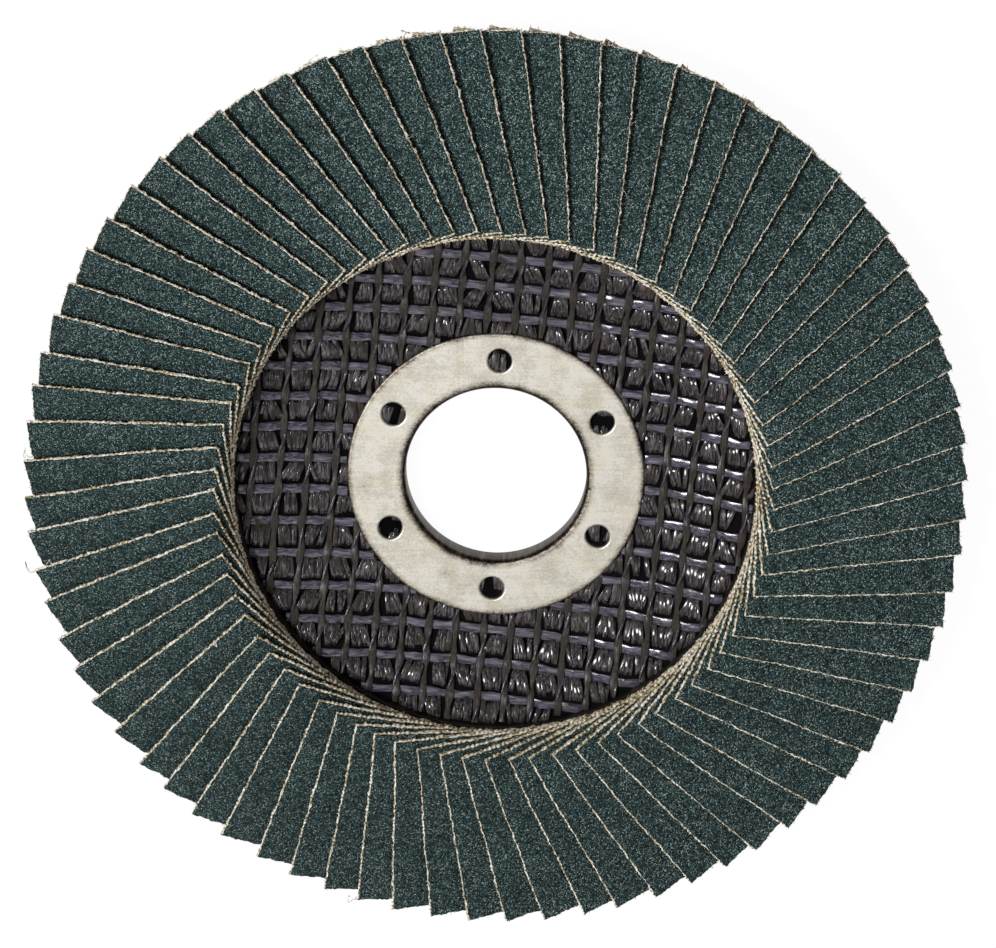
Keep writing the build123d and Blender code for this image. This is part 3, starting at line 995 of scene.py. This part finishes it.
def stamped_ring(ring, seat):
    """The steel ring in a bmesh, standing on the hub at seat: punched holes, rolled lip, collar down the bore."""
    sizes = (ring.bore, ring.radius, ring.face, ring.lip, ring.hole_radius, ring.hole_circle, seat)
    bore, radius, front, lip, hole_radius, hole_circle, seat = (size / MM for size in sizes)
    quarter = [math.radians(15 * step) for step in range(7)]
    roll = [(bore + lip * (1 - math.sin(angle)), front - lip * (1 - math.cos(angle))) for angle in quarter]
    # The collar's lower edge is rounded and its outside goes back up to the seat
    collar = [(0.0, 0.3), (0.045, 0.05), (0.135, 0.0), (0.485, 0.0), (0.6, 0.1), (0.6, seat)]
    wall = roll + [(bore + out, height) for out, height in collar]
    # The punch and the die pull the upper edges down
    rim = [(0.27, 0.0), (0.11, 0.04), (0.02, 0.12), (0.0, 0.25)]
    rim = [(radius - back, front - down) for back, down in rim] + [(radius, seat)]
    hole = [(0.25, 0.0), (0.12, 0.04), (0.03, 0.12), (0.0, 0.25)]
    hole = [(hole_radius + out, front - down) for out, down in hole] + [(hole_radius, seat)]
    # Centre, profile, steps and wobble of each upright wall
    walls = [((0.0, 0.0), wall, 160, 0.0), ((0.0, 0.0), rim, 160, 0.0)]
    for angle in [ring.hole_turn + TAU * step / 6 for step in range(6)]:
        walls.append(((hole_circle * math.cos(angle), hole_circle * math.sin(angle)), hole, 32, 0.03))
    bm = bmesh.new()
    tops, bottoms = [], []
    for centre, profile, count, wobble in walls:
        rings = [circle(bm, centre, reach, height, count, wobble) for reach, height in profile]
        for upper, lower in zip(rings, rings[1:]):
            bridge(bm, upper, lower)
        tops.append(rings[0])
        bottoms.append(rings[-1])
    fill(bm, tops)
    fill(bm, bottoms)
    bmesh.ops.recalc_face_normals(bm, faces=bm.faces)
    for face in bm.faces:
        face.smooth = len(face.verts) == 4
        # The collar's inside and the start of its roll get the steel painted dark with painted shade
        if face.calc_center_median().xy.length < (bore + 0.285) * MM:
            face.material_index = 1
    return bm


class FLAPDISC_OT_ring(bpy.types.Operator):
    """Build the steel ring with its rolled lip, collar and punched holes"""

    bl_idname = "flapdisc.ring"
    bl_label = "Steel ring"

    def execute(self, context):
        ring = context.scene.flapdisc_ring
        bm = stamped_ring(ring, context.scene.flapdisc_plate.hub_height)
        piece = mesh_piece("steel_ring", bm, [pressed_steel(ring), collar_steel_painted_shade()], smooth=False)
        settle(piece, ["centre_ring"])
        return {"FINISHED"}


class FLAPDISC_OT_adhesive(bpy.types.Operator):
    """Give the bed of adhesive under the flaps its finish, painted near black as shade"""

    bl_idname = "flapdisc.adhesive"
    bl_label = "Adhesive bed"

    def execute(self, context):
        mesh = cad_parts["adhesive_bed"].data
        mesh.materials.clear()
        mesh.materials.append(epoxy_painted_as_shade())
        return {"FINISHED"}


# ---------------------------------------------------------------- flaps


# Rows of (inset, depth) in millimetres, from a layer's top edge to its bottom edge
CLOTH_ROWS = ((0.5, 0.19), (0.05, 0.2), (0.0, 0.26), (0.0, 0.55), (0.08, 0.7))
GRIT_ROWS = ((0.14, 0.0), (0.11, 0.05), (0.09, 0.21))


def flap_point(sizes, along, across, depth):
    """Point of a flap in its own frame, depth below its upper face."""
    height = sizes.seat - (along - sizes.inner) * sizes.fall + (sizes.buried - across) * sizes.lean
    up = Vector((sizes.fall, sizes.lean, 1.0)).normalized()
    return Vector((along, across, height)) - up * depth


def flap_rim(sizes, inset):
    """Corners and fine steps round a flap's outline, inset from its cut edges, with outward directions.

    Where the next flap covers the outer end, it is drawn back a little and bare of grit.
    """
    bare, drawn_back = 4 * inset, 0.6 * MM
    covered_from, covered_over = 6.3 * MM, 2.5 * MM
    low_x, high_x = sizes.inner + 2.0 * inset, sizes.outer - inset
    low_y, high_y = -sizes.free + inset, sizes.buried
    corners = [(low_x, low_y), (high_x, low_y), (high_x - bare - drawn_back, high_y), (low_x, high_y)]
    steps = [96, 60, 8, 60]
    outward = [(0, -1), (1, 0), (0, 0), (-1, 0)]
    places = []
    for side in range(4):
        here, there = corners[side], corners[(side + 1) % 4]
        # Yarn ends bulge and sink in turn, most where they are glued
        bulge = (0.05 if side == 3 else 0.02) * MM
        for step in range(steps[side]):
            part = step / steps[side]
            along = here[0] + (there[0] - here[0]) * part
            across = here[1] + (there[1] - here[1]) * part
            if side == 1:
                along = high_x - (bare + drawn_back) * min(1.0, max(0.0, (across + covered_from) / covered_over))
            beside = outward[side] if step else tuple(a + b for a, b in zip(outward[side], outward[side - 1]))
            out = bulge * (-1) ** step
            places.append((along + beside[0] * out, across + beside[1] * out, beside))
    return places


def flap_layer(name, sizes, rows, taper):
    """One layer of a flap as a closed slab; rows are (inset, depth) from its top edge to its bottom edge.

    Near the free edge the last two rows lie higher by taper, so that the edge stands clear of the next flap.
    """
    clear_over = 5 * MM
    bm = bmesh.new()
    marks = {mark: bm.verts.layers.float.new(mark) for mark in ("push_x", "push_y", "along", "across")}
    rings = []
    for place, (inset, depth) in enumerate(rows):
        ring = []
        for along, across, outward in flap_rim(sizes, inset):
            clear = max(0.0, 1 - (across + sizes.free) / clear_over) * taper if place >= len(rows) - 2 else 0.0
            vert = bm.verts.new(flap_point(sizes, along, across, depth - clear))
            vert[marks["push_x"]], vert[marks["push_y"]] = outward
            vert[marks["along"]], vert[marks["across"]] = along, across
            ring.append(vert)
        rings.append(ring)
    for ring, after in zip(rings, rings[1:]):
        bridge(bm, after, ring)
    top = bm.faces.new(rings[0])
    bottom = bm.faces.new(list(reversed(rings[-1])))
    bmesh.ops.triangulate(bm, faces=[top, bottom])
    cut = bm.faces.layers.float.new("cut")
    for face in bm.faces:
        face[cut] = 1.0 if len(face.verts) == 4 else 0.0
    return mesh_piece(name, bm, [], smooth=False)


def flap_tree():
    """Geometry Nodes tree that repeats a flap layer round the disc and frays its cut edges."""
    labels = ("Turn", "Angle play", "Fray", "Bow", "Wave")
    tree, add, given = start_tree(
        "flaps_round_the_disc",
        {
            "Flap": "Geometry",
            "Count": "Int",
            **dict.fromkeys(labels, "Float"),
            "Seed": "Int",
            "Face": "Material",
            "Cut": "Material",
        },
        "Flaps",
    )
    index = add("GeometryNodeInputIndex")
    points = add("GeometryNodePoints", {"Count": given["Count"]})
    step = add("ShaderNodeMath", {0: TAU, 1: given["Count"]}, operation="DIVIDE")
    even = add("ShaderNodeMath", {0: index, 1: step, 2: given["Turn"]}, operation="MULTIPLY_ADD")
    play = add(
        "FunctionNodeRandomValue", {2: -1.0, 3: 1.0, "ID": index, "Seed": given["Seed"]}, data_type="FLOAT"
    )
    azimuth = add("ShaderNodeMath", {0: play, 1: given["Angle play"], 2: even}, operation="MULTIPLY_ADD")
    kept = add(
        "GeometryNodeStoreNamedAttribute",
        {"Geometry": points, "Name": "azimuth", "Value": azimuth},
        data_type="FLOAT",
        domain="POINT",
    )
    turn = add("ShaderNodeCombineXYZ", {"Z": azimuth})
    placed = add("GeometryNodeInstanceOnPoints", {"Points": kept, "Instance": given["Flap"], "Rotation": turn})
    real = add("GeometryNodeRealizeInstances", {"Geometry": placed})
    # The cut edges are pushed in and out, by fine noise and by long bends
    place = add("GeometryNodeInputPosition")
    amount = uneven(add, place, 0.7 * MM, given["Fray"], Detail=3.0, Roughness=0.75)
    amount = uneven(add, place, 11 * MM, given["Bow"], amount, Detail=1.0)
    push_x, push_y, azimuth, cut = (
        add("GeometryNodeInputNamedAttribute", {"Name": name}, data_type="FLOAT")
        for name in ("push_x", "push_y", "azimuth", "cut")
    )
    push = add("ShaderNodeCombineXYZ", {"X": push_x, "Y": push_y})
    aimed = add("ShaderNodeVectorRotate", {"Vector": push, "Angle": azimuth}, rotation_type="Z_AXIS")
    shift = add("ShaderNodeVectorMath", {0: aimed, "Scale": amount}, operation="SCALE")
    upward = add("ShaderNodeCombineXYZ", {"Z": uneven(add, place, 7 * MM, given["Wave"], Detail=1.0)})
    total = add("ShaderNodeVectorMath", {0: shift, 1: upward}, operation="ADD")
    frayed = add("GeometryNodeSetPosition", {"Geometry": real, "Offset": total})
    cut = add("ShaderNodeMath", {0: cut, 1: 0.5}, operation="GREATER_THAN")
    faced = add("GeometryNodeSetMaterial", {"Geometry": frayed, "Material": given["Face"]})
    dressed = add("GeometryNodeSetMaterial", {"Geometry": faced, "Selection": cut, "Material": given["Cut"]})
    add("NodeGroupOutput", {"Flaps": dressed})
    return tree


class FLAPDISC_OT_flaps(bpy.types.Operator):
    """Build the ring of overlapping flaps, a layer of cloth and a layer of grit"""

    bl_idname = "flapdisc.flaps"
    bl_label = "Abrasive flaps"

    def execute(self, context):
        sizes = context.scene.flapdisc_flaps
        tree = flap_tree()
        nodes = sorted(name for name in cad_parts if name.startswith("flaps_"))
        grit = coated_grit()
        # Name, rows, taper in millimetres, materials of face and cut edge, share of the fray
        layers = (
            ("cloth_layer", CLOTH_ROWS, 0.14, backing_cloth(), cut_cloth(), 1.0),
            ("grit_layer", GRIT_ROWS, 0.0, grit, grit, 0.8),
        )
        for name, rows, taper, face, cut, share in layers:
            values = {
                "Count": sizes.count,
                "Turn": sizes.turn,
                "Angle play": math.radians(0.3),
                # The noise keeps to about a ninth of its span
                "Fray": sizes.fray * 9.0 * share,
                "Bow": sizes.bow,
                "Wave": sizes.wave,
                "Seed": 11,
                "Face": face,
                "Cut": cut,
            }
            rows = [(inset * MM, depth * MM) for inset, depth in rows]
            piece = run_tree(flap_layer(name, sizes, rows, taper * MM), tree, "flap_" + name, values)
            settle(piece, nodes)
        return {"FINISHED"}


def yarn_piece(name, course):
    """A thin three-sided yarn through (x, y, z, radius) stations, about one metre long, to be scaled in use."""
    bm = bmesh.new()
    rings = []
    for x, y, z, radius in course:
        angles = [TAU * step / 3 for step in range(3)]
        rings.append([bm.verts.new((x + radius * math.cos(a), y + radius * math.sin(a), z)) for a in angles])
    close_tube(bm, rings)
    return mesh_piece(name, bm, [])


def fuzz_tree():
    """Geometry Nodes tree that stands yarn ends on the cut edges of the cloth."""
    tree, add, given = start_tree(
        "fuzz_on_cut_edges",
        {
            "Cloth": "Geometry",
            "Density": "Float",
            "Edge length": "Float",
            "End length": "Float",
            "Lowest": "Float",
            "Seed": "Int",
            "Thread": "Object",
            "Material": "Material",
        },
        "Fuzz",
    )
    # Only the upright faces of the cut edges carry fuzz
    normal = add("GeometryNodeInputNormal")
    tip = add("ShaderNodeSeparateXYZ", {0: normal}).outputs[2]
    steep = add("ShaderNodeMath", {0: tip}, operation="ABSOLUTE")
    chosen = add("ShaderNodeMath", {0: steep, 1: 0.6}, operation="LESS_THAN")
    push_x, push_y = (
        add("GeometryNodeInputNamedAttribute", {"Name": name}, data_type="FLOAT") for name in ("push_x", "push_y")
    )
    pushes = [add("ShaderNodeMath", {0: push}, operation="ABSOLUTE") for push in (push_x, push_y)]
    either = add("ShaderNodeMath", {0: pushes[0], 1: pushes[1]}, operation="MAXIMUM")
    cut = add("ShaderNodeMath", {0: either, 1: 0.5}, operation="GREATER_THAN")
    chosen = add("ShaderNodeMath", {0: chosen, 1: cut}, operation="MULTIPLY")
    # Nothing stands so low that it would reach the ground
    height = add("ShaderNodeSeparateXYZ", {0: add("GeometryNodeInputPosition")}).outputs[2]
    high = add("ShaderNodeMath", {0: height, 1: given["Lowest"]}, operation="GREATER_THAN")
    chosen = add("ShaderNodeMath", {0: chosen, 1: high}, operation="MULTIPLY")
    spread = add(
        "GeometryNodeDistributePointsOnFaces",
        {"Mesh": given["Cloth"], "Selection": chosen, "Density": given["Density"], "Seed": given["Seed"]},
        distribute_method="RANDOM",
    )
    length = add(
        "ShaderNodeMapRange", {"Value": push_x, "To Min": given["Edge length"], "To Max": given["End length"]}
    )
    play = add("FunctionNodeRandomValue", {2: 0.3, 3: 1.5, "Seed": given["Seed"]}, data_type="FLOAT")
    size = add("ShaderNodeMath", {0: length, 1: play}, operation="MULTIPLY")
    swing = add(
        "FunctionNodeRandomValue",
        {0: (-0.9, -0.9, -math.pi), 1: (0.9, 0.9, math.pi), "Seed": given["Seed"]},
        data_type="FLOAT_VECTOR",
    )
    spun = add(
        "FunctionNodeRotateRotation",
        {"Rotation": spread.outputs["Rotation"], "Rotate By": swing},
        rotation_space="LOCAL",
    )
    thread = add("GeometryNodeObjectInfo", {"Object": given["Thread"]}).outputs["Geometry"]
    stood = add(
        "GeometryNodeInstanceOnPoints", {"Points": spread, "Instance": thread, "Rotation": spun, "Scale": size}
    )
    real = add("GeometryNodeRealizeInstances", {"Geometry": stood})
    dressed = add("GeometryNodeSetMaterial", {"Geometry": real, "Material": given["Material"]})
    add("NodeGroupOutput", {"Fuzz": dressed})
    return tree


class FLAPDISC_OT_fuzz(bpy.types.Operator):
    """Stand short fuzz and a few loose threads on the cut edges of the cloth"""

    bl_idname = "flapdisc.fuzz"
    bl_label = "Fuzz and loose threads"

    def execute(self, context):
        cloth = bpy.data.objects["flap_cloth_layer"]
        yarn = frayed_yarn()
        # Cotton fibres of 0.02 mm would not show, so a few thicker tapered ends stand for a tuft of them
        short = ((0, 0, -0.15, 0.17), (0.06, 0, 0.4, 0.15), (0.2, 0, 0.75, 0.11), (0.42, 0.05, 1.0, 0.03))
        curl = [
            (0.25 * math.sin(step * 0.9), 0.3 - 0.3 * math.cos(step * 0.7), 0.7 * math.sin(step * 0.22), 0.045)
            for step in range(11)
        ]
        # Name, course, pieces to a square millimetre, lengths in millimetres on edges and on outer ends
        kinds = (("edge_fuzz", short, 4.2, 0.17, 0.3), ("loose_threads", curl, 0.02, 0.8, 1.5))
        for name, course, density, edge, end in kinds:
            thread = yarn_piece(name, course)
            values = {
                "Density": density / MM**2,
                "Edge length": edge * MM,
                "End length": end * MM,
                "Lowest": 2.2 * end * MM,
                "Seed": 5,
                "Thread": thread,
                "Material": yarn,
            }
            piece = run_tree(mesh_object("fuzz", cloth.data.copy()), fuzz_tree(), "flap_" + name, values)
            bpy.data.objects.remove(thread)
            settle(piece)
        return {"FINISHED"}


# ---------------------------------------------------------------- stage


class FLAPDISC_OT_stage(bpy.types.Operator):
    """Set the camera, lamps, floor and world"""

    bl_idname = "flapdisc.stage"
    bl_label = "Stage"

    def execute(self, context):
        scene = context.scene
        scene.camera = aimed_camera(scene, scene.flapdisc_stage)
        world = bpy.data.worlds.new("studio")
        world.use_nodes = True
        scene.world = world
        set_inputs(world.node_tree.nodes["Background"], {"Color": (1, 1, 1, 1), "Strength": 0.2})
        # Name, direction from the disc, distance and diameter in metres, power in watts
        for name, direction, reach, size, power in (
            ("key", (-0.48, 0.13, 0.87), 1.6, 0.52, 18.8),
            ("overhead", (-0.04, -0.33, 0.94), 1.5, 0.8, 1.6),
            ("fill", (0.35, -0.75, 0.6), 1.8, 1.2, 3.4),
        ):
            lamp = bpy.data.objects.new(name, bpy.data.lights.new(name, "AREA"))
            scene.collection.objects.link(lamp)
            lamp.data.shape = "DISK"
            lamp.data.size = size
            lamp.data.energy = power
            aim = Vector(direction).normalized()
            lamp.location = aim * reach
            lamp.rotation_euler = aim.to_track_quat("Z", "Y").to_euler()
        bm = bmesh.new()
        bmesh.ops.create_grid(bm, x_segments=1, y_segments=1, size=3.0)
        floor = mesh_piece("floor", bm, [white_paper()], smooth=False)
        scene.view_settings.view_transform = "Standard"
        return {"FINISHED"}


def aimed_camera(scene, sizes):
    """Camera that looks at the middle of the ring's face, tilted from the axis and swung to the side."""
    picture_width, off_centre = 996, (2.25, 1.65)  # Pixels
    sensor_width = 36.0
    side, ahead = math.sin(sizes.swing), math.cos(sizes.swing)
    sine, cosine = math.sin(sizes.tilt), math.cos(sizes.tilt)
    towards = Vector((side * sine, ahead * sine, cosine))
    level = Vector((ahead, -side, 0))
    across = Vector((side * cosine, ahead * cosine, -sine))
    right = level * ahead + across * side
    upward = across * ahead - level * side
    camera = bpy.data.objects.new("camera", bpy.data.cameras.new("camera"))
    scene.collection.objects.link(camera)
    turn = Matrix((right, upward, towards)).transposed().to_4x4()
    centre = Vector((0, 0, scene.flapdisc_ring.face))
    camera.matrix_world = Matrix.Translation(centre + towards * sizes.distance) @ turn
    lens = camera.data
    lens.sensor_fit = "HORIZONTAL"
    lens.sensor_width = sensor_width
    lens.lens = sensor_width * sizes.scale / MM * sizes.distance / picture_width
    lens.shift_x, lens.shift_y = (shift / picture_width for shift in off_centre)
    lens.clip_start, lens.clip_end = 0.01, 20.0
    return camera


# ---------------------------------------------------------------- add-on


class FLAPDISC_PT_panel(bpy.types.Panel):
    """Lists the settings and steps of the flap disc"""

    bl_idname = "FLAPDISC_PT_panel"
    bl_label = "Flap disc"
    bl_space_type = "VIEW_3D"
    bl_region_type = "UI"
    bl_category = "Flap disc"

    def draw(self, context):
        layout = self.layout
        for name, group in GROUPS.items():
            box = layout.box()
            box.label(text=group.__doc__)
            for setting in group.__annotations__:
                box.prop(getattr(context.scene, name), setting)
        for step in OPERATORS:
            layout.operator(step.bl_idname)


OPERATORS = (
    FLAPDISC_OT_stage,
    FLAPDISC_OT_plate,
    FLAPDISC_OT_strands,
    FLAPDISC_OT_bundles,
    FLAPDISC_OT_ring,
    FLAPDISC_OT_adhesive,
    FLAPDISC_OT_flaps,
    FLAPDISC_OT_fuzz,
)
GROUPS = {
    "flapdisc_flaps": FlapSettings,
    "flapdisc_plate": PlateSettings,
    "flapdisc_ring": RingSettings,
    "flapdisc_finish": FinishSettings,
    "flapdisc_stage": StageSettings,
}
CLASSES = (*GROUPS.values(), *OPERATORS, FLAPDISC_PT_panel)


def register():
    """Register the classes and hang the settings on the scene."""
    for cls in CLASSES:
        bpy.utils.register_class(cls)
    for name, group in GROUPS.items():
        setattr(bpy.types.Scene, name, bpy.props.PointerProperty(type=group))


def unregister():
    """Undo what register did."""
    for name in GROUPS:
        delattr(bpy.types.Scene, name)
    for cls in reversed(CLASSES):
        bpy.utils.unregister_class(cls)


def main():
    """Build everything in order."""
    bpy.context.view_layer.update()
    register()
    bpy.ops.flapdisc.stage()
    bpy.ops.flapdisc.plate()
    bpy.ops.flapdisc.strands()
    bpy.ops.flapdisc.bundles()
    bpy.ops.flapdisc.ring()
    bpy.ops.flapdisc.adhesive()
    bpy.ops.flapdisc.flaps()
    bpy.ops.flapdisc.fuzz()


if __name__ == "__main__":
    main()
